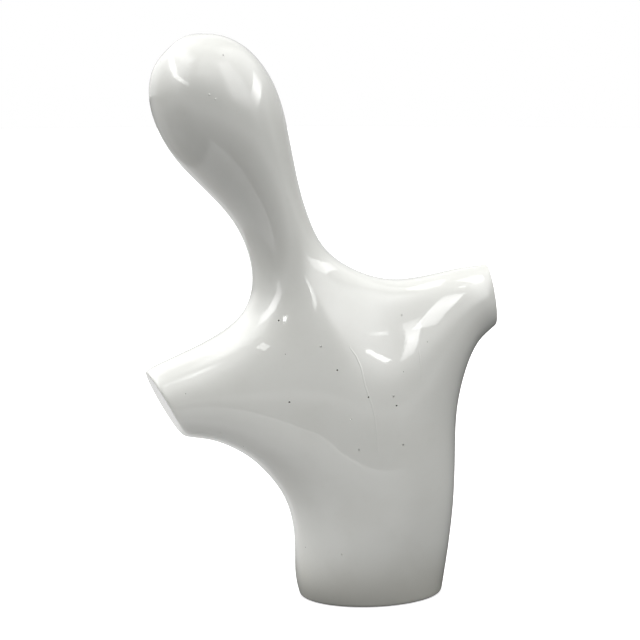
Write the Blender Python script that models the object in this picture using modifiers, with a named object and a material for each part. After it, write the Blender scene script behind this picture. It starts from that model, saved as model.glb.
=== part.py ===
"""Ceramic bust: a blank egg-shaped head on a leaning neck, two arm stumps cut
off flat, and a torso that narrows to a flat oval foot. One cast body.

Metres, +Z up. The origin is the centre of the foot's flat underside, X runs
along the shoulders and the front faces -Y.

The body is a coarse cage of twelve-sided rings under a Subdivision Surface.
The trunk's rings climb from the foot to the crown. Each stump's rings start at
a hole left in the side of the chest. The foot and both stumps end in a flat
face with a rolled rim, held by three close rings.
"""

import math

import bmesh
import bpy
from mathutils import Matrix, Vector

MM = 0.001
SIDES = 12
SUBDIVISIONS = 2

FOOT_ROLL = 4.0
LEFT_ROLL = 6.0
RIGHT_ROLL = 4.0

# Trunk rings, bottom to top, in millimetres and degrees:
# centre x, centre z, lean about Y, half width, half depth.
FOOT = (0, 0, 0, 68.5, 50)
ABOVE_FOOT = (-1, 22, 1, 73, 54)
WAIST = (3, 60, 3, 75, 57)
RIBS = (0, 106, 9, 82, 60)
UNDER_ARMS = (-13, 147, 15, 96, 62)
CHEST = (-32, 207, 13, 96, 59)
SHOULDERS = (-50, 267, 11, 72, 44)
NECK_ROOT = (-73, 295, 20, 36, 33)
NECK = (-84, 329, 24, 30, 32)
NAPE = (-99, 366, 24, 34, 38)
JAW = (-124, 410, 24, 53, 50)
TEMPLES = (-140, 445, 24, 58, 53)
BROW = (-155, 474, 25, 50, 47)
CROWN = (-164, 492, 24, 32, 29)
TRUNK = (
    FOOT,
    ABOVE_FOOT,
    WAIST,
    RIBS,
    UNDER_ARMS,
    CHEST,
    SHOULDERS,
    NECK_ROOT,
    NECK,
    NAPE,
    JAW,
    TEMPLES,
    BROW,
    CROWN,
)
CROWN_DOME = 10.0
CROWN_INSET = 0.34

# How far the shoulder ring's points between the neck and the right stump are
# drawn in, by their place in the ring. It lays the top of that shoulder back.
SADDLE = {10: 12.0, 11: 7.0}

# Stump rings, from the chest out: centre x, y and z, tilt of the cut out of
# plumb, turn of the cut towards the front, half height, half depth.
LEFT_STUMP = (
    (-134, -1, 187, 17, 2, 54, 42),
    (-170, -3, 184, 38, 4, 45, 35),
    (-188, -5, 184, 28, 6, 34, 32),
)
RIGHT_STUMP = (
    (83, -1, 259, 10, 2, 39, 32),
    (100, -2, 267, 10, 3, 31.5, 27),
    (109.3, -3, 271.3, 9, 4, 29.2, 20),
)

# The hole for a stump runs from UNDER_ARMS to SHOULDERS, four sides wide.
HOLE_LOW, HOLE_HIGH = 6, 8
LEFT_HOLE = (4, 5, 6, 7)
RIGHT_HOLE = (10, 11, 0, 1)

GLAZE_COLOUR = (0.82, 0.825, 0.785, 1.0)
GLAZE_ROUGHNESS = 0.09
GLAZE_IOR = 1.5


def between(a, b, share):
    return tuple(p + (q - p) * share for p, q in zip(a, b))


def trunk_rings():
    """The trunk's rings with the three that roll the foot's rim."""
    inset = FOOT[:3] + (FOOT[3] - FOOT_ROLL, FOOT[4] - FOOT_ROLL)
    rise = between(FOOT, ABOVE_FOOT, FOOT_ROLL / ABOVE_FOOT[1])
    return [inset, FOOT, rise, *TRUNK[1:]]


def stump_rings(rings, roll):
    """A stump's rings with the three that roll the rim of its cut end."""
    root, cut = rings[-2], rings[-1]
    length = math.hypot(cut[0] - root[0], cut[2] - root[2])
    back = between(cut, root, roll / length)
    inset = cut[:5] + (cut[5] - roll, cut[6] - roll)
    return [*rings[:-1], back, cut, inset]


def trunk_matrix(x, z, lean, half_width, half_depth):
    # create_circle starts on +Y, so a quarter turn puts the first point on +X.
    return (
        Matrix.Translation((x * MM, 0, z * MM))
        @ Matrix.Rotation(-math.radians(lean), 4, "Y")
        @ Matrix.Diagonal((half_width * MM, half_depth * MM, 1, 1))
        @ Matrix.Rotation(-math.pi / 2, 4, "Z")
    )


def stump_matrix(side, x, y, z, tilt, turn, half_height, half_depth):
    """A ring in the YZ plane, tilted about Y and turned about Z; side is -1 on
    the left and 1 on the right."""
    return (
        Matrix.Translation((x * MM, y * MM, z * MM))
        @ Matrix.Rotation(-side * math.radians(turn), 4, "Z")
        @ Matrix.Rotation(-math.radians(tilt), 4, "Y")
        @ Matrix.Diagonal((1, half_depth * MM, half_height * MM, 1))
        @ Matrix.Rotation(math.pi / 2, 4, "Y")
    )


def ring(bm, matrix):
    made = bmesh.ops.create_circle(bm, segments=SIDES, radius=1.0, matrix=matrix)
    return made["verts"]


def draw_in(shoulders):
    """Moves the saddle's points towards the body's middle, front and back alike."""
    for place, depth in SADDLE.items():
        shoulders[place].co.y += depth * MM
        shoulders[SIDES - place].co.y -= depth * MM


def edges_within(verts):
    chosen = set(verts)
    return {e for v in verts for e in v.link_edges if e.other_vert(v) in chosen}


def bridge(bm, low, high):
    bmesh.ops.bridge_loops(bm, edges=[*edges_within(low), *edges_within(high)])


def open_hole(bm, trunk, columns):
    """Takes out the trunk's faces where a stump joins, and gives the hole's rim."""
    rows = trunk[HOLE_LOW : HOLE_HIGH + 1]
    inside = set()
    for low, high in zip(rows, rows[1:]):
        for column in columns:
            after = (column + 1) % SIDES
            corners = {low[column], low[after], high[column], high[after]}
            inside |= {f for f in low[column].link_faces if set(f.verts) == corners}
    touched = {v for face in inside for v in face.verts}
    bmesh.ops.delete(bm, geom=list(inside), context="FACES")
    return [v for v in touched if v.is_valid]


def close_crown(bm, top):
    """Fills the last ring with nine quads and domes the four inner points."""
    facing = [edges_within(top[start : start + 4]) for start in (0, 6)]
    made = bmesh.ops.grid_fill(bm, edges=[*facing[0], *facing[1]])
    inner = {v for face in made["faces"] for v in face.verts} - set(top)
    place = trunk_matrix(*CROWN)
    dome = place.to_3x3().normalized() @ Vector((0, 0, CROWN_DOME * MM))
    for vert in inner:
        flat = place.inverted() @ vert.co
        flat.x = math.copysign(CROWN_INSET, flat.x)
        flat.y = math.copysign(CROWN_INSET, flat.y)
        flat.z = 0
        vert.co = place @ flat + dome


def build_cage():
    bm = bmesh.new()
    rows = trunk_rings()
    trunk = [ring(bm, trunk_matrix(*row)) for row in rows]
    draw_in(trunk[HOLE_HIGH])
    for low, high in zip(trunk, trunk[1:]):
        bridge(bm, low, high)
    stumps = (
        (-1, LEFT_STUMP, LEFT_ROLL, LEFT_HOLE),
        (1, RIGHT_STUMP, RIGHT_ROLL, RIGHT_HOLE),
    )
    for side, sizes, roll, columns in stumps:
        low = open_hole(bm, trunk, columns)
        for row in stump_rings(sizes, roll):
            high = ring(bm, stump_matrix(side, *row))
            bridge(bm, low, high)
            low = high
    close_crown(bm, trunk[-1])
    bmesh.ops.holes_fill(bm, edges=bm.edges[:], sides=SIDES)
    bmesh.ops.recalc_face_normals(bm, faces=bm.faces[:])
    return bm


def glaze():
    material = bpy.data.materials.new("white_glaze")
    material.use_nodes = True
    shader = material.node_tree.nodes["Principled BSDF"]
    shader.inputs["Base Color"].default_value = GLAZE_COLOUR
    shader.inputs["Roughness"].default_value = GLAZE_ROUGHNESS
    shader.inputs["Metallic"].default_value = 0.0
    shader.inputs["IOR"].default_value = GLAZE_IOR
    return material


def main():
    for obj in list(bpy.data.objects):
        bpy.data.objects.remove(obj, do_unlink=True)
    collection = bpy.data.collections.new("Ceramic bust")
    bpy.context.scene.collection.children.link(collection)

    bm = build_cage()
    mesh = bpy.data.meshes.new("ceramic_bust")
    bm.to_mesh(mesh)
    bm.free()
    for polygon in mesh.polygons:
        polygon.use_smooth = True
    bust = bpy.data.objects.new("ceramic_bust", mesh)
    bust.data.materials.append(glaze())
    collection.objects.link(bust)

    surface = bust.modifiers.new("Subdivision", "SUBSURF")
    surface.levels = SUBDIVISIONS
    surface.render_levels = SUBDIVISIONS


main()
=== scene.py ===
import math

import bmesh
import bpy
from mathutils import Matrix, Vector, noise
from mathutils.bvhtree import BVHTree


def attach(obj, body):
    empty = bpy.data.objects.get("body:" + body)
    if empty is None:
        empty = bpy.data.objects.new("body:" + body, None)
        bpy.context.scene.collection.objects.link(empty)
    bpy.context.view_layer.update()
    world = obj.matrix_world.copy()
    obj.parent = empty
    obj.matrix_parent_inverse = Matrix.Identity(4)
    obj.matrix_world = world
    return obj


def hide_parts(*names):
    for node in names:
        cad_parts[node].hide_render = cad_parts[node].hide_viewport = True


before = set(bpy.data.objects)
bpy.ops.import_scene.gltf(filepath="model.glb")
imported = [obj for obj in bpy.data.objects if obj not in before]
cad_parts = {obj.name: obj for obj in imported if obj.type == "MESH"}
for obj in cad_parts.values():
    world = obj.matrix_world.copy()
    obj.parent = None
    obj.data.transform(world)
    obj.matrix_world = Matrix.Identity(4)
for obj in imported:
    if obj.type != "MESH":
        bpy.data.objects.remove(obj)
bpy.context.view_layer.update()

MM = 0.001
SIDES = 12
SUBDIVISIONS = 4

# ---------------------------------------------------------------- the body
# The same cage as the CAD solid's, one ring after another in millimetres and
# degrees: centre x, centre z, lean about Y, half width, half depth.
FOOT_ROLL = 4.0
LEFT_ROLL = 6.0
RIGHT_ROLL = 4.0
FOOT = (0, 0, 0, 68.5, 50)
ABOVE_FOOT = (-1, 22, 1, 73, 54)
CROWN = (-164, 492, 24, 32, 29)
TRUNK = (
    FOOT,
    ABOVE_FOOT,
    (3, 60, 3, 75, 57),
    (0, 106, 9, 82, 60),
    (-13, 147, 15, 96, 62),
    (-32, 207, 13, 96, 59),
    (-50, 267, 11, 72, 44),
    (-73, 295, 20, 36, 33),
    (-84, 329, 24, 30, 32),
    (-99, 366, 24, 34, 38),
    (-124, 410, 24, 53, 50),
    (-140, 445, 24, 58, 53),
    (-155, 474, 25, 50, 47),
    CROWN,
)
CROWN_DOME = 10.0
CROWN_INSET = 0.34
SADDLE = {10: 12.0, 11: 7.0}
# Stump rings: centre x, y, z, tilt, turn, half height, half depth.
LEFT_STUMP = (
    (-134, -1, 187, 17, 2, 54, 42),
    (-170, -3, 184, 38, 4, 45, 35),
    (-188, -5, 184, 28, 6, 34, 32),
)
RIGHT_STUMP = (
    (83, -1, 259, 10, 2, 39, 32),
    (100, -2, 267, 10, 3, 31.5, 27),
    (109.3, -3, 271.3, 9, 4, 29.2, 20),
)
HOLE_LOW, HOLE_HIGH = 6, 8
LEFT_HOLE = (4, 5, 6, 7)
RIGHT_HOLE = (10, 11, 0, 1)


def between(a, b, share):
    return tuple(p + (q - p) * share for p, q in zip(a, b))


def trunk_rings():
    inset = FOOT[:3] + (FOOT[3] - FOOT_ROLL, FOOT[4] - FOOT_ROLL)
    rise = between(FOOT, ABOVE_FOOT, FOOT_ROLL / ABOVE_FOOT[1])
    return [inset, FOOT, rise, *TRUNK[1:]]


def stump_rings(rings, roll):
    root, cut = rings[-2], rings[-1]
    length = math.hypot(cut[0] - root[0], cut[2] - root[2])
    back = between(cut, root, roll / length)
    inset = cut[:5] + (cut[5] - roll, cut[6] - roll)
    return [*rings[:-1], back, cut, inset]


def trunk_matrix(x, z, lean, half_width, half_depth):
    return (
        Matrix.Translation((x * MM, 0, z * MM))
        @ Matrix.Rotation(-math.radians(lean), 4, "Y")
        @ Matrix.Diagonal((half_width * MM, half_depth * MM, 1, 1))
        @ Matrix.Rotation(-math.pi / 2, 4, "Z")
    )


def stump_matrix(side, x, y, z, tilt, turn, half_height, half_depth):
    return (
        Matrix.Translation((x * MM, y * MM, z * MM))
        @ Matrix.Rotation(-side * math.radians(turn), 4, "Z")
        @ Matrix.Rotation(-math.radians(tilt), 4, "Y")
        @ Matrix.Diagonal((1, half_depth * MM, half_height * MM, 1))
        @ Matrix.Rotation(math.pi / 2, 4, "Y")
    )


def ring(bm, matrix):
    made = bmesh.ops.create_circle(bm, segments=SIDES, radius=1.0, matrix=matrix)
    return made["verts"]


def draw_in(shoulders):
    for place, depth in SADDLE.items():
        shoulders[place].co.y += depth * MM
        shoulders[SIDES - place].co.y -= depth * MM


def edges_within(verts):
    chosen = set(verts)
    return {e for v in verts for e in v.link_edges if e.other_vert(v) in chosen}


def bridge(bm, low, high):
    bmesh.ops.bridge_loops(bm, edges=[*edges_within(low), *edges_within(high)])


def open_hole(bm, trunk, columns):
    rows = trunk[HOLE_LOW : HOLE_HIGH + 1]
    inside = set()
    for low, high in zip(rows, rows[1:]):
        for column in columns:
            after = (column + 1) % SIDES
            corners = {low[column], low[after], high[column], high[after]}
            inside |= {f for f in low[column].link_faces if set(f.verts) == corners}
    touched = {v for face in inside for v in face.verts}
    bmesh.ops.delete(bm, geom=list(inside), context="FACES")
    return [v for v in touched if v.is_valid]


def close_crown(bm, top):
    facing = [edges_within(top[start : start + 4]) for start in (0, 6)]
    made = bmesh.ops.grid_fill(bm, edges=[*facing[0], *facing[1]])
    inner = {v for face in made["faces"] for v in face.verts} - set(top)
    place = trunk_matrix(*CROWN)
    dome = place.to_3x3().normalized() @ Vector((0, 0, CROWN_DOME * MM))
    for vert in inner:
        flat = place.inverted() @ vert.co
        flat.x = math.copysign(CROWN_INSET, flat.x)
        flat.y = math.copysign(CROWN_INSET, flat.y)
        flat.z = 0
        vert.co = place @ flat + dome


def build_cage():
    bm = bmesh.new()
    trunk = [ring(bm, trunk_matrix(*row)) for row in trunk_rings()]
    draw_in(trunk[HOLE_HIGH])
    for low, high in zip(trunk, trunk[1:]):
        bridge(bm, low, high)
    stumps = (
        (-1, LEFT_STUMP, LEFT_ROLL, LEFT_HOLE),
        (1, RIGHT_STUMP, RIGHT_ROLL, RIGHT_HOLE),
    )
    for side, sizes, roll, columns in stumps:
        low = open_hole(bm, trunk, columns)
        for row in stump_rings(sizes, roll):
            high = ring(bm, stump_matrix(side, *row))
            bridge(bm, low, high)
            low = high
    close_crown(bm, trunk[-1])
    bmesh.ops.holes_fill(bm, edges=bm.edges[:], sides=SIDES)
    bmesh.ops.recalc_face_normals(bm, faces=bm.faces[:])
    return bm


def make_body():
    bm = build_cage()
    cage = bpy.data.meshes.new("bust_cage")
    bm.to_mesh(cage)
    bm.free()
    obj = bpy.data.objects.new("bust_glazed", cage)
    bpy.context.scene.collection.objects.link(obj)
    surface = obj.modifiers.new("Subdivision", "SUBSURF")
    surface.levels = surface.render_levels = SUBDIVISIONS
    graph = bpy.context.evaluated_depsgraph_get()
    fine = bpy.data.meshes.new_from_object(obj.evaluated_get(graph))
    obj.modifiers.clear()
    obj.data = fine
    fine.name = "bust_glazed"
    bpy.data.meshes.remove(cage)
    for polygon in fine.polygons:
        polygon.use_smooth = True
    return obj


# ---------------------------------------------------------------- the glaze's relief
# The body's materials, in the order of their slots.
GLAZED, HOLE, BARE = range(3)
# Unevenness of the glaze: how many swells to a metre, and their height.
RIPPLES = ((24, 0.26), (85, 0.035))
# Marks in the glaze are rings round one point: radius and height in millimetres,
# and whether the faces inside that ring take the near-black pinhole material, painted shade at the bottom of
# the hole.
PINHOLE = ((1.3, 0, False), (0.98, 0, False), (0.82, -0.06, False), (0.74, -0.2, True), (0.4, -0.45, True))
SMALL_PIT = ((1.0, 0, False), (0.68, 0, False), (0.52, -0.06, False), (0.34, -0.16, True), (0.2, -0.22, True))
PIMPLE = ((1.35, 0, False), (1.05, 0.02, False), (0.75, 0.14, False), (0.45, 0.31, False), (0.2, 0.38, False))
# Where the marks are: pixels of the 640 x 640 view for the front, and x and z in
# millimetres for the back.
PINHOLES = (
    (278.6, 320.6),
    (320.8, 346.3),
    (337.3, 370.3),
    (289.4, 402.3),
    (368.5, 397.3),
    (393.5, 396.2),
    (396.6, 405.8),
    (351.1, 420.1),
    (402.0, 315.4),
    (403.3, 444.6),
    (359.1, 449.7),
)
SMALL_PITS = (
    (285.3, 354.2),
    (427.3, 342.0),
    (403.3, 372.0),
    (185.5, 393.9),
    (221.0, 432.7),
    (243.3, 446.8),
    (305.3, 547.3),
    (341.7, 554.6),
    (223.4, 54.9),
)
PIMPLES = ((209.4, 94.6), (215.3, 99.1))
BACK_PINHOLES = ((-41, 214), (8, 171), (37, 232), (-22, 118), (31, 88))
BACK_SMALL_PITS = ((-128, 452), (-96, 196), (-6, 262), (18, 46), (-52, 66))


def ripple(bm):
    """Raises and sinks the surface by its swells, all but the flat underside."""
    bm.normal_update()
    moves = []
    for vert in bm.verts:
        height = sum(
            noise.noise(vert.co * scale + Vector((scale, 0, 0))) * depth * MM
            for scale, depth in RIPPLES
        )
        held = min(1.0, vert.co.z / (20 * MM))
        moves.append(vert.normal * (height * held))
    for vert, move in zip(bm.verts, moves):
        vert.co += move


def on_front(tree, camera, x, y):
    """The point of the surface behind a pixel of the 640 x 640 view."""
    place = camera.matrix_basis
    length = camera.data.lens / camera.data.sensor_width * 640
    ray = place.to_3x3() @ Vector(((x - 320) / length, (320 - y) / length, -1))
    return tree.ray_cast(place.translation, ray.normalized())[:2]


def on_back(tree, x, z):
    return tree.ray_cast(Vector((x * MM, 0.5, z * MM)), Vector((0, -1, 0)))[:2]


def to_edge(spot, edge):
    low, high = (vert.co for vert in edge.verts)
    along = high - low
    share = max(0.0, min(1.0, (spot - low).dot(along) / along.length_squared))
    return (spot - low - along * share).length


def set_in(bm, near, spot, normal, profile):
    """Replaces the faces round a point with a mark's rings."""
    reach = (profile[0][0] + 0.15) * MM
    under = min(near, key=lambda f: (f.calc_center_median() - spot).length)
    lost = {f for f in near if f is under or min(to_edge(spot, e) for e in f.edges) < reach}
    if len(lost) < 4:
        lost = {f for vert in under.verts for f in vert.link_faces}
    touched = {vert for face in lost for vert in face.verts}
    bmesh.ops.delete(bm, geom=list(lost), context="FACES")
    rim = {e for v in touched if v.is_valid for e in v.link_edges if e.is_boundary}
    sides = len(rim)
    turn = normal.to_track_quat("Z", "Y").to_matrix().to_4x4()
    # Faces inside a flagged ring take the pinhole material, painted shade.
    dark = False
    for radius, height, inner_dark in profile:
        made = bmesh.ops.create_circle(
            bm,
            segments=sides,
            radius=radius * MM,
            matrix=Matrix.Translation(spot + normal * height * MM) @ turn,
        )
        ring_edges = edges_within(made["verts"])
        joined = bmesh.ops.bridge_loops(bm, edges=[*rim, *ring_edges])
        for face in joined["faces"]:
            face.material_index = HOLE if dark else GLAZED
        rim, dark = ring_edges, inner_dark
    closed = bmesh.ops.holes_fill(bm, edges=list(rim), sides=sides)
    for face in closed["faces"]:
        face.material_index = HOLE if dark else GLAZED


def mark(bm, camera):
    tree = BVHTree.FromBMesh(bm)
    faces = bm.faces[:]
    front = ((PINHOLES, PINHOLE), (SMALL_PITS, SMALL_PIT), (PIMPLES, PIMPLE))
    back = ((BACK_PINHOLES, PINHOLE), (BACK_SMALL_PITS, SMALL_PIT))
    spots = [(on_front(tree, camera, *at), kind) for places, kind in front for at in places]
    spots += [(on_back(tree, *at), kind) for places, kind in back for at in places]
    for (spot, normal), kind in spots:
        near = [faces[hit[2]] for hit in tree.find_nearest_range(spot, 3 * MM)]
        set_in(bm, [face for face in near if face.is_valid], spot, normal, kind)
    bmesh.ops.recalc_face_normals(bm, faces=bm.faces[:])


def finish_surface(obj, camera):
    bm = bmesh.new()
    bm.from_mesh(obj.data)
    ripple(bm)
    mark(bm, camera)
    bm.normal_update()
    for face in bm.faces:
        face.smooth = True
        if face.normal.z < -0.95 and face.calc_center_median().z < 0.5 * MM:
            face.material_index = BARE
    bm.to_mesh(obj.data)
    bm.free()


# ---------------------------------------------------------------- node trees
def node(tree, kind, inputs=(), **settings):
    """Adds a node. Inputs are set by socket name or number, from a value or a link."""
    made = tree.nodes.new(kind)
    for name, value in settings.items():
        setattr(made, name, value)
    for socket, value in dict(inputs).items():
        if isinstance(value, bpy.types.NodeSocket):
            tree.links.new(value, made.inputs[socket])
        else:
            made.inputs[socket].default_value = value
    return made


def calc(tree, operation, *values):
    return node(
        tree, "ShaderNodeMath", dict(enumerate(values)), operation=operation
    ).outputs[0]


def fade(tree, value, start, end, low=0.0, high=1.0):
    """Goes smoothly from low at start to high at end, which may lie below start."""
    return node(
        tree,
        "ShaderNodeMapRange",
        {"Value": value, "From Min": start, "From Max": end, "To Min": low, "To Max": high},
        interpolation_type="SMOOTHSTEP",
    ).outputs["Result"]


def between_edges(tree, value, low, high, soft):
    rise = fade(tree, value, low - soft, low + soft)
    fall = fade(tree, value, high + soft, high - soft)
    return calc(tree, "MULTIPLY", rise, fall)


def curve(tree, value, points):
    """A value that follows (position, height) points in straight lines."""
    low, high = points[0][0], points[-1][0]
    share = node(
        tree, "ShaderNodeMapRange", {"Value": value, "From Min": low, "From Max": high}
    ).outputs["Result"]
    ramp = node(tree, "ShaderNodeValToRGB", {"Fac": share})
    line = ramp.color_ramp.elements
    while len(line) < len(points):
        line.new(0.5)
    top = max(height for _, height in points)
    for element, (position, height) in zip(line, points):
        element.position = (position - low) / (high - low)
        element.color = (height / top,) * 3 + (1.0,)
    return calc(tree, "MULTIPLY", ramp.outputs["Color"], top)


# ---------------------------------------------------------------- materials
GLAZE = (0.82, 0.825, 0.785, 1.0)
# Thin glaze in the random mottling, and painted shade: near the foot the glaze is mixed towards this darker
# colour.
THIN_GLAZE_AND_FOOT_SHADE = (0.66, 0.655, 0.60, 1.0)
# Runs where the glaze flowed and set: (height, x) points in millimetres down the
# front, half width and height of the ridge in millimetres.
RUNS = (
    (((236, -31), (229, -26), (219, -22), (203, -19), (188, -14), (176, -11), (158, -9), (140, -8)), 1.1, 0.15),
    (((229, 32), (217, 33), (207, 33)), 0.9, 0.14),
)


def glaze():
    material = bpy.data.materials.new("white_glaze")
    material.use_nodes = True
    tree = material.node_tree
    shader = tree.nodes["Principled BSDF"]
    shader.inputs["Roughness"].default_value = 0.3
    shader.inputs["IOR"].default_value = 1.45
    shader.inputs["Specular IOR Level"].default_value = 0.3
    shader.inputs["Coat Weight"].default_value = 1.0
    shader.inputs["Coat Roughness"].default_value = 0.03
    shader.inputs["Coat IOR"].default_value = 1.65

    place = node(tree, "ShaderNodeTexCoord").outputs["Object"]
    split = node(tree, "ShaderNodeSeparateXYZ", {0: place})
    x, y, z = (split.outputs[axis] for axis in "XYZ")
    cloud = node(
        tree, "ShaderNodeTexNoise", {"Vector": place, "Scale": 22, "Detail": 3, "Roughness": 0.55}
    ).outputs["Fac"]
    grain = node(
        tree, "ShaderNodeTexNoise", {"Vector": place, "Scale": 260, "Detail": 2, "Roughness": 0.6}
    ).outputs["Fac"]
    thin_glaze_and_foot_shade = calc(tree, "MULTIPLY", fade(tree, cloud, 0.42, 0.72), 0.16)
    thin_glaze_and_foot_shade = calc(tree, "MULTIPLY_ADD", fade(tree, grain, 0.55, 0.75), 0.06, thin_glaze_and_foot_shade)
    # Painted shade: towards the foot the colour goes most of the way to the darker one.
    low = fade(tree, z, 0.062, -0.004)
    thin_glaze_and_foot_shade = calc(tree, "ADD", thin_glaze_and_foot_shade, calc(tree, "MULTIPLY", low, 0.9))
    colour = node(
        tree,
        "ShaderNodeMix",
        {"Factor": calc(tree, "MINIMUM", thin_glaze_and_foot_shade, 1.0), 6: GLAZE, 7: THIN_GLAZE_AND_FOOT_SHADE},
        data_type="RGBA",
    ).outputs[2]
    tree.links.new(colour, shader.inputs["Base Color"])

    orange_peel = node(
        tree, "ShaderNodeTexNoise", {"Vector": place, "Scale": 330, "Detail": 1, "Roughness": 0.5}
    ).outputs["Fac"]
    height = calc(tree, "MULTIPLY", orange_peel, 0.012)
    front = fade(tree, y, 0.0, -0.01)
    for points, half_width, ridge in RUNS:
        low_z, high_z = points[-1][0], points[0][0]
        line = curve(tree, z, [(h * MM, (at + 100) * MM) for h, at in reversed(points)])
        aside = calc(tree, "ABSOLUTE", calc(tree, "SUBTRACT", calc(tree, "ADD", x, 0.1), line))
        crest = fade(tree, aside, half_width * MM, 0.0)
        length = between_edges(tree, z, low_z * MM, high_z * MM, 0.004)
        crest = calc(tree, "MULTIPLY", calc(tree, "MULTIPLY", crest, length), front)
        height = calc(tree, "MULTIPLY_ADD", crest, ridge, height)
    bump = node(
        tree, "ShaderNodeBump", {"Height": height, "Strength": 1.0, "Distance": MM}
    ).outputs["Normal"]
    tree.links.new(bump, shader.inputs["Normal"])
    tree.links.new(bump, shader.inputs["Coat Normal"])
    return material


def pit_bottom():
    """Near-black, rough bottom of a pinhole: painted shade in the hole."""
    material = bpy.data.materials.new("pinhole")
    material.use_nodes = True
    tree = material.node_tree
    shader = tree.nodes["Principled BSDF"]
    shader.inputs["Roughness"].default_value = 0.8
    place = node(tree, "ShaderNodeTexCoord").outputs["Object"]
    grain = node(tree, "ShaderNodeTexNoise", {"Vector": place, "Scale": 900}).outputs["Fac"]
    colour = node(
        tree,
        "ShaderNodeMix",
        {"Factor": grain, 6: (0.025, 0.022, 0.018, 1), 7: (0.06, 0.05, 0.04, 1)},
        data_type="RGBA",
    ).outputs[2]
    tree.links.new(colour, shader.inputs["Base Color"])
    return material


def bare_clay():
    """The unglazed flat of the foot."""
    material = bpy.data.materials.new("bare_clay")
    material.use_nodes = True
    tree = material.node_tree
    shader = tree.nodes["Principled BSDF"]
    shader.inputs["Roughness"].default_value = 0.85
    shader.inputs["Specular IOR Level"].default_value = 0.3
    place = node(tree, "ShaderNodeTexCoord").outputs["Object"]
    cloud = node(tree, "ShaderNodeTexNoise", {"Vector": place, "Scale": 45, "Detail": 3}).outputs["Fac"]
    grain = node(tree, "ShaderNodeTexNoise", {"Vector": place, "Scale": 1100, "Detail": 2}).outputs["Fac"]
    share = calc(tree, "MULTIPLY_ADD", fade(tree, grain, 0.35, 0.7), 0.5, calc(tree, "MULTIPLY", cloud, 0.5))
    colour = node(
        tree,
        "ShaderNodeMix",
        {"Factor": share, 6: (0.60, 0.55, 0.47, 1), 7: (0.74, 0.70, 0.62, 1)},
        data_type="RGBA",
    ).outputs[2]
    tree.links.new(colour, shader.inputs["Base Color"])
    bump = node(
        tree, "ShaderNodeBump", {"Height": grain, "Strength": 0.6, "Distance": 0.1 * MM}
    ).outputs["Normal"]
    tree.links.new(bump, shader.inputs["Normal"])
    return material


# ---------------------------------------------------------------- the stage
# The table top. Its front edge runs through these (x, distance in front) points,
# and its sides stand at the two x values. GLOW is how it lights the bust and
# SHEEN how it shows in the glaze. Past it the room's floor is dark. FOOT_FLAT is
# half the width and depth of the foot's flat. Then the lit patches on the floor:
# x from, to, y from, to, softness of the edge in metres, radiance.
TABLE_EDGE = ((-1.2, 0.66), (-0.30, 0.60), (-0.15, 0.55), (-0.09, 0.43), (0.28, 0.47), (1.2, 0.50))
FOOT_FLAT = (0.062, 0.0447)
TABLE_SIDES = (-0.47, 0.46)
TABLE_GLOW = 0.37
TABLE_SHEEN = 0.65
FLOOR_LIGHT = (
    (-0.28, -0.09, -0.16, 0.18, 0.03, 1.5),
    (-2.2, 0.3, 0.35, 3.0, 0.15, 0.35),
    (-2.2, -0.47, -0.3, 1.6, 0.10, 0.35),
)
# Upright streaks of light on the right: azimuth from, to and radiance.
STREAKS = ((52, 60, 0.40), (80, 91, 0.45))


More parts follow.
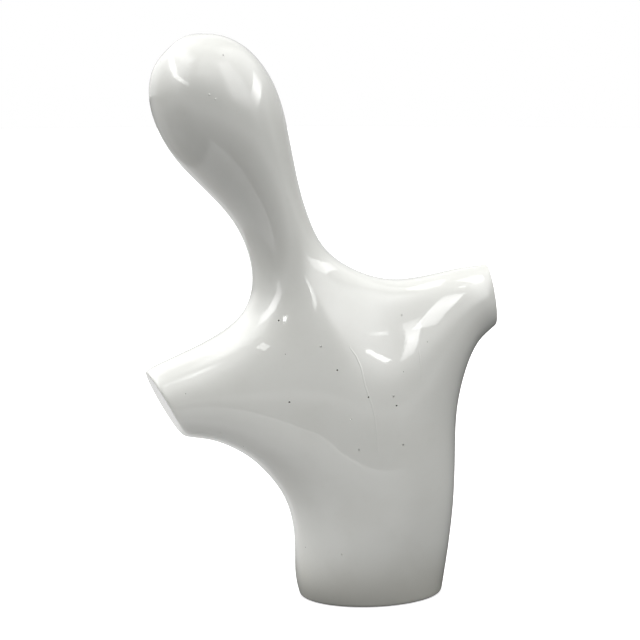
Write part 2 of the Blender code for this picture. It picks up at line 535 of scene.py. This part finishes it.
def make_floor():
    """A pale table top. The glaze mirrors its lit patches and its edge."""
    bm = bmesh.new()
    bmesh.ops.create_circle(bm, cap_ends=True, segments=96, radius=6.0)
    mesh = bpy.data.meshes.new("floor")
    bm.to_mesh(mesh)
    bm.free()
    floor = bpy.data.objects.new("floor", mesh)
    floor.location = (0, 0, -0.0002)
    bpy.context.scene.collection.objects.link(floor)
    material = bpy.data.materials.new("pale_floor")
    material.use_nodes = True
    tree = material.node_tree
    tree.nodes.clear()
    place = node(tree, "ShaderNodeTexCoord").outputs["Object"]
    split = node(tree, "ShaderNodeSeparateXYZ", {0: place})
    x, y = split.outputs["X"], split.outputs["Y"]
    wide = calc(tree, "MULTIPLY", x, 0.8)
    reach = calc(
        tree,
        "SQRT",
        calc(tree, "ADD", calc(tree, "MULTIPLY", wide, wide), calc(tree, "MULTIPLY", y, y)),
    )
    # Painted shadow round the foot: how clear of it the floor is, from nothing within 0.10 m to fully clear
    # 0.24 m out.
    clear = curve(tree, reach, ((0.10, 0.0), (0.15, 0.35), (0.24, 1.0)))
    edge = curve(tree, x, TABLE_EDGE)
    front = calc(tree, "ADD", y, edge)
    inside = calc(
        tree,
        "MULTIPLY",
        fade(tree, front, -0.006, 0.006),
        between_edges(tree, x, *TABLE_SIDES, 0.02),
    )
    back = calc(tree, "MULTIPLY", y, -1.0)
    azimuth = calc(tree, "DEGREES", calc(tree, "ARCTAN2", x, back))
    level = TABLE_GLOW
    for az_from, az_to, radiance in STREAKS:
        streak = between_edges(tree, azimuth, az_from, az_to, 3)
        level = calc(tree, "MULTIPLY_ADD", streak, radiance, level)
    right = fade(tree, azimuth, 10, 55, 1.0, 0.12)
    level = calc(tree, "MULTIPLY", level, right)
    glow = calc(tree, "MULTIPLY_ADD", inside, level, 0.03)
    edge_line = calc(
        tree, "MULTIPLY", inside, fade(tree, front, 0.03, 0.012, TABLE_SHEEN, TABLE_SHEEN + 0.6)
    )
    beyond = fade(tree, reach, 0.9, 2.5, 0.04, 0.45)
    beyond = calc(tree, "MULTIPLY", beyond, fade(tree, y, 0.6, -0.2, 0.2, 1.0))
    outside = calc(tree, "SUBTRACT", 1.0, inside)
    sheen = calc(
        tree,
        "MULTIPLY_ADD",
        outside,
        beyond,
        calc(tree, "MULTIPLY", edge_line, right),
    )
    for x_from, x_to, y_from, y_to, soft, radiance in FLOOR_LIGHT:
        patch = calc(
            tree,
            "MULTIPLY",
            between_edges(tree, x, x_from, x_to, soft),
            between_edges(tree, y, y_from, y_to, soft),
        )
        glow = calc(tree, "MULTIPLY_ADD", patch, radiance, glow)
        sheen = calc(tree, "MULTIPLY_ADD", patch, radiance * 0.4, sheen)
    # Painted shadow: next to the foot the floor's glow and sheen drop to a tenth.
    painted_foot_shadow = calc(tree, "MULTIPLY_ADD", clear, 0.9, 0.1)
    glow = calc(tree, "MULTIPLY", glow, painted_foot_shadow)
    sheen = calc(tree, "MULTIPLY", sheen, painted_foot_shadow)
    # A painted pool of light under the flat of the foot, where only a view from below gets to see it; it lights
    # the underside.
    across = calc(tree, "DIVIDE", x, FOOT_FLAT[0])
    deep = calc(tree, "DIVIDE", y, FOOT_FLAT[1])
    oval = calc(
        tree,
        "SQRT",
        calc(tree, "ADD", calc(tree, "MULTIPLY", across, across), calc(tree, "MULTIPLY", deep, deep)),
    )
    under = fade(tree, oval, 0.95, 0.85, 0.0, 0.7)
    glow = calc(tree, "ADD", glow, under)
    seen = node(
        tree,
        "ShaderNodeAddShader",
        {
            0: node(tree, "ShaderNodeBsdfDiffuse", {"Color": (0.9, 0.9, 0.9, 1)}).outputs[0],
            1: node(tree, "ShaderNodeEmission", {"Strength": 0.4}).outputs[0],
        },
    )
    path = node(tree, "ShaderNodeLightPath")
    mirrored = path.outputs["Is Glossy Ray"]
    strength = calc(
        tree,
        "MULTIPLY_ADD",
        mirrored,
        calc(tree, "SUBTRACT", sheen, glow),
        glow,
    )
    lit = node(tree, "ShaderNodeEmission", {"Strength": strength})
    side = node(tree, "ShaderNodeNewGeometry")
    by_eye = node(
        tree,
        "ShaderNodeMixShader",
        {0: path.outputs["Is Camera Ray"], 1: lit.outputs[0], 2: seen.outputs[0]},
    )
    by_side = node(
        tree,
        "ShaderNodeMixShader",
        {
            0: side.outputs["Backfacing"],
            1: by_eye.outputs[0],
            2: node(tree, "ShaderNodeBsdfTransparent").outputs[0],
        },
    )
    node(tree, "ShaderNodeOutputMaterial", {"Surface": by_side.outputs[0]})
    floor.data.materials.append(material)


# Soft panels around the bust: azimuth from, to, elevation from, to, softness of
# the edge, all in degrees, how far the panel climbs for each degree to the
# right, and radiance. Azimuth 0 is in front, 90 on the right.
PANELS = (
    (-165, -60, 6, 62, 10, 0, 0.7),
    (24, 60, 12, 62, 8, 0, 1.7),
    (64, 130, 26, 75, 10, 0, 0.85),
    (-30, 40, 34, 80, 12, 0, 0.5),
    (-135, -57, 53, 67, 5, 0, 1.0),
    (134, 180, -20, 60, 10, 0, 0.2),
    (-180, -120, -25, 50, 12, 0, 0.45),
)
# A window with level blinds on the left: the same edges and radiance, and the
# step of the blinds in degrees.
BLINDS = (-142, -48, 27, 68, 5, 1.4, 3.2)
# The dark of the room behind the camera and low on the right: the same edges,
# and the share of the light that it takes away.
DARKS = (
    (-44, 12, -50, 17, 10, 0.96),
    (-64, -12, 0, 32, 8, 0.5),
    (136, 180, 38, 66, 7, 0.5),
    (20, 110, -50, 10, 8, 0.8),
    (104, 128, -50, 6, 4, 0.6),
)


def make_world():
    world = bpy.data.worlds.new("studio")
    bpy.context.scene.world = world
    world.use_nodes = True
    tree = world.node_tree
    tree.nodes.clear()
    place = node(tree, "ShaderNodeTexCoord").outputs["Generated"]
    split = node(tree, "ShaderNodeSeparateXYZ", {0: place})
    back = calc(tree, "MULTIPLY", split.outputs["Y"], -1.0)
    turn = calc(tree, "ARCTAN2", split.outputs["X"], back)
    azimuth = calc(tree, "DEGREES", turn)
    elevation = calc(tree, "DEGREES", calc(tree, "ARCSINE", split.outputs["Z"]))

    def patch(az_from, az_to, el_from, el_to, soft, slope=0):
        height = elevation
        if slope:
            middle = (az_from + az_to) / 2
            climb = calc(tree, "MULTIPLY_ADD", azimuth, -slope, middle * slope)
            height = calc(tree, "ADD", elevation, climb)
        return calc(
            tree,
            "MULTIPLY",
            between_edges(tree, azimuth, az_from, az_to, soft),
            between_edges(tree, height, el_from, el_to, soft),
        )

    light = curve(
        tree,
        elevation,
        ((-90, 0.1), (-20, 0.12), (-6, 0.3), (12, 0.38), (35, 0.82), (60, 0.88), (90, 0.86)),
    )
    for *edges, share in DARKS:
        left = calc(tree, "MULTIPLY_ADD", patch(*edges), -share, 1.0)
        light = calc(tree, "MULTIPLY", light, left)
    for *edges, radiance in PANELS:
        light = calc(tree, "MULTIPLY_ADD", patch(*edges), radiance, light)
    for az_from, az_to, radiance in STREAKS:
        streak = patch(az_from, az_to, -30, 14, 3)
        light = calc(tree, "MULTIPLY_ADD", streak, radiance * 0.6, light)
    *edges, radiance, step = BLINDS
    wave = calc(tree, "SINE", calc(tree, "MULTIPLY", elevation, 2 * math.pi / step))
    slats = calc(tree, "MULTIPLY", patch(*edges), fade(tree, wave, -0.5, 0.5, 0.0, radiance))
    light = calc(tree, "ADD", light, slats)
    around = node(tree, "ShaderNodeBackground", {"Color": light})
    behind = node(tree, "ShaderNodeBackground", {"Color": (1, 1, 1, 1)})
    path = node(tree, "ShaderNodeLightPath")
    mix = node(
        tree,
        "ShaderNodeMixShader",
        {0: path.outputs["Is Camera Ray"], 1: around.outputs[0], 2: behind.outputs[0]},
    )
    node(tree, "ShaderNodeOutputWorld", {"Surface": mix.outputs[0]})


def direction(azimuth, elevation):
    """Azimuth 0 is in front of the bust (-Y), 90 is on its right in the picture."""
    a, e = math.radians(azimuth), math.radians(elevation)
    return Vector((math.sin(a) * math.cos(e), -math.cos(a) * math.cos(e), math.sin(e)))


# Strip lights: the point each one faces, where its two ends stand as seen from
# there (azimuth, elevation), its width in degrees, its radiance, its spread in
# degrees and its distance in metres.
STRIPS = {
    "leg_right": ((0.054, -0.032, 0.264), (30.9, 48.9), (11.6, 15.7), 14, 5.5, 40, 0.1),
    "foot_right": ((0.027, -0.04, 0.242), (20.5, 34.7), (24.2, 9.8), 3.2, 6, 22, 0.183),
    "blotch": ((0.001, -0.041, 0.243), (26.9, 30.4), (27.1, 28.4), 2, 3.5, 8, 0.28),
    "leg_left": ((-0.007, -0.047, 0.228), (23.2, 25.7), (32.3, 14.5), 3.33, 6.5, 34, 0.1),
    "quad": ((0.088, -0.02, 0.288), (41.5, 51.7), (113.9, 83.6), 14, 6.1, 38.3, 0.175),
    "quad_tail": ((0.072, -0.027, 0.277), (25, 58.3), (28.6, 62.9), 4.8, 5, 24.3, 0.133),
    "top": ((0.044, -0.019, 0.283), (168.2, 53.4), (19.7, 64.1), 1.2, 3.5, 70, 0.258),
    "neck_right": ((-0.051, -0.025, 0.305), (107.6, 31.1), (44.1, 14.7), 3.52, 4.5, 61.3, 0.142),
    "neck_thin": ((-0.062, -0.036, 0.283), (25.6, 23.6), (8, 12.1), 3.2, 7.2, 18.4, 0.1),
    "neck_fan": ((-0.096, -0.028, 0.271), (-38.8, -1.4), (-89.8, 35.3), 12.56, 5, 70, 0.173),
    "head_left": ((-0.179, -0.028, 0.477), (-66.6, 19.9), (-125.3, 45.1), 13.13, 5.5, 46, 0.1),
    "head_low": ((-0.174, -0.036, 0.467), (-37.9, 12.7), (-90.5, 28.6), 8.81, 5, 46.4, 0.1),
    "head_right": ((-0.11, -0.038, 0.458), (107.9, 30.6), (57.1, 11.2), 12, 5.5, 45.9, 0.349),
    "neck_left": ((-0.085, -0.036, 0.264), (-24.3, 16.9), (-33.1, 19), 0.85, 9, 8, 0.277),
    "blob_a": ((-0.086, -0.036, 0.262), (-17.7, 15.4), (-40.3, 21), 0.97, 7.3, 8.8, 0.291),
    "blob_b": ((-0.105, -0.037, 0.238), (-16.8, 19.4), (-32.2, 31), 3.02, 3.8, 62.5, 0.1),
    "shoulder_thin": ((-0.165, -0.03, 0.215), (-14.5, 38.7), (-54.9, 59), 4.59, 4.1, 11.9, 0.298),
}


def make_strips():
    for name, (point, first, last, width, radiance, spread, away) in STRIPS.items():
        point = Vector(point)
        ends = [direction(*end) for end in (first, last)]
        back = (ends[0] + ends[1]).normalized()
        along = ends[0] - ends[1]
        data = bpy.data.lights.new(name, "AREA")
        data.shape = "RECTANGLE"
        data.size = along.length * away
        data.size_y = math.radians(width) * away
        data.spread = math.radians(spread)
        # A narrow spread packs the same power into a small cone.
        half = math.radians(spread / 2)
        packed = math.tan(half) / (math.tan(half) - half)
        data.energy = radiance * math.pi * data.size * data.size_y / packed
        obj = bpy.data.objects.new(name, data)
        bpy.context.scene.collection.objects.link(obj)
        across = back.cross(along).normalized()
        along = across.cross(back)
        turn = Matrix((along, across, back)).transposed().to_4x4()
        obj.matrix_world = Matrix.Translation(point + back * away) @ turn
        # They are seen in the glaze, and the soft light alone does the shading.
        obj.visible_camera = False
        obj.visible_diffuse = False


def make_camera():
    camera = bpy.data.cameras.new("camera")
    camera.lens = 103.4
    camera.sensor_width = 36.0
    camera.clip_start, camera.clip_end = 0.05, 60
    obj = bpy.data.objects.new("camera", camera)
    back = direction(-12, 10)
    target = Vector((-0.0475, 0.0, 0.2528))
    obj.location = target + back * 1.628
    obj.rotation_mode = "QUATERNION"
    obj.rotation_quaternion = back.to_track_quat("Z", "Y")
    bpy.context.scene.collection.objects.link(obj)
    bpy.context.scene.camera = obj
    return obj


def main():
    camera = make_camera()
    body = make_body()
    body.data.materials.clear()
    for material in (glaze(), pit_bottom(), bare_clay()):
        body.data.materials.append(material)
    finish_surface(body, camera)
    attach(body, "root")
    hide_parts("ceramic_bust")
    make_floor()
    make_world()
    make_strips()
    view = bpy.context.scene.view_settings
    view.view_transform = "Standard"
    view.look = "None"


main()
